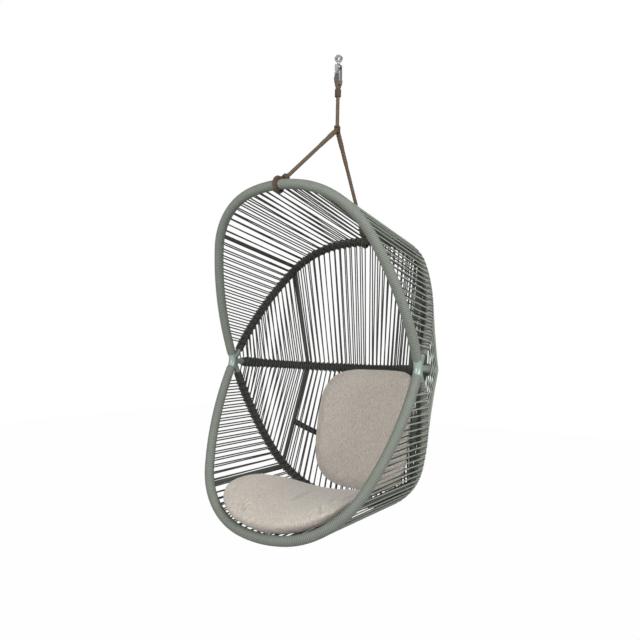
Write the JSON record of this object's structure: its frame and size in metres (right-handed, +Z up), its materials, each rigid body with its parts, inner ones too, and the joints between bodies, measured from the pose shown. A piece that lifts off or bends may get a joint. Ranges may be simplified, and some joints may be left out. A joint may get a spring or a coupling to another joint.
{
  "type": "hanging egg chair",
  "caption": "Hanging egg chair: bent tubes fan out from two side hubs, strung with cord panels, with a seat and a back cushion, hung from a forked rope on a swivel.",
  "frame": {"origin": "centre of the swivel eye's bore, the point the chair hangs from", "axes": "+Z up, -Y the open front of the chair, +X runs through the two side hubs, so the mount's bore axis is Y"},
  "size_m": [0.9481, 0.7574, 1.9484],
  "materials": {
    "hanger_steel": "satin",
    "rope": "woven",
    "rope_bindings": "woven",
    "ring_tube": "powder coated",
    "hub_paint": "gloss powder coat",
    "inner_tube": "powder coated",
    "rib_tube": "powder coated",
    "ring_cord": "matt",
    "inner_cord": "matt",
    "strand_cord": "matt",
    "cushion_cloth": "melange weave"
  },
  "bodies": {
    "swivel_head": {"swivel_eye": "hanger_steel"},
    "yoke": {"swivel_yoke": "hanger_steel", "yoke_pin": "hanger_steel"},
    "toggle": {"toggle_link": "hanger_steel", "toggle_pin": "hanger_steel"},
    "chair": {"rope_thimble": "hanger_steel", "hanging_rope": "rope", "eye_seizing": "rope_bindings", "rope_knot": "rope_bindings", "front_rope_branch": "rope", "rear_rope_branch": "rope", "front_hitch": "rope_bindings", "rear_hitch": "rope_bindings", "upper_front_arch": "ring_tube", "lower_front_arch": "ring_tube", "upper_rear_arch": "inner_tube", "middle_arch": "inner_tube", "lower_rear_arch": "inner_tube", "left_hub": "hub_paint", "right_hub": "hub_paint", "upper_front_wrap": "ring_cord", "lower_front_wrap": "ring_cord", "upper_rear_wrap": "inner_cord", "middle_wrap": "inner_cord", "lower_rear_wrap": "inner_cord", "left_top_rib": "rib_tube", "right_top_rib": "rib_tube", "left_upper_back_rib": "rib_tube", "right_upper_back_rib": "rib_tube", "left_lower_back_rib": "rib_tube", "right_lower_back_rib": "rib_tube", "left_seat_rib": "rib_tube", "right_seat_rib": "rib_tube", "lumbar_bar": "inner_tube", "top_inner_strands": "strand_cord", "top_outer_strands": "strand_cord", "upper_back_inner_strands": "strand_cord", "upper_back_outer_strands": "strand_cord", "lower_back_inner_strands": "strand_cord", "lower_back_outer_strands": "strand_cord", "seat_inner_strands": "strand_cord", "seat_outer_strands": "strand_cord", "seat_cushion": "cushion_cloth", "back_cushion": "cushion_cloth"}
  },
  "joints": [
    {"name": "swivel_spin", "type": "hinge", "parent": "swivel_head", "child": "yoke", "pos_m": [0, 0, 0], "axis": [0, 0, 1], "continuous": true},
    {"name": "sideways_swing", "type": "hinge", "parent": "yoke", "child": "toggle", "pos_m": [0, 0, -0.05], "axis": [0, 1, 0], "range_deg": [-30, 30]},
    {"name": "fore_and_aft_swing", "type": "hinge", "parent": "toggle", "child": "chair", "pos_m": [0, 0, -0.092], "axis": [1, 0, 0], "range_deg": [-35, 35]}
  ]
}
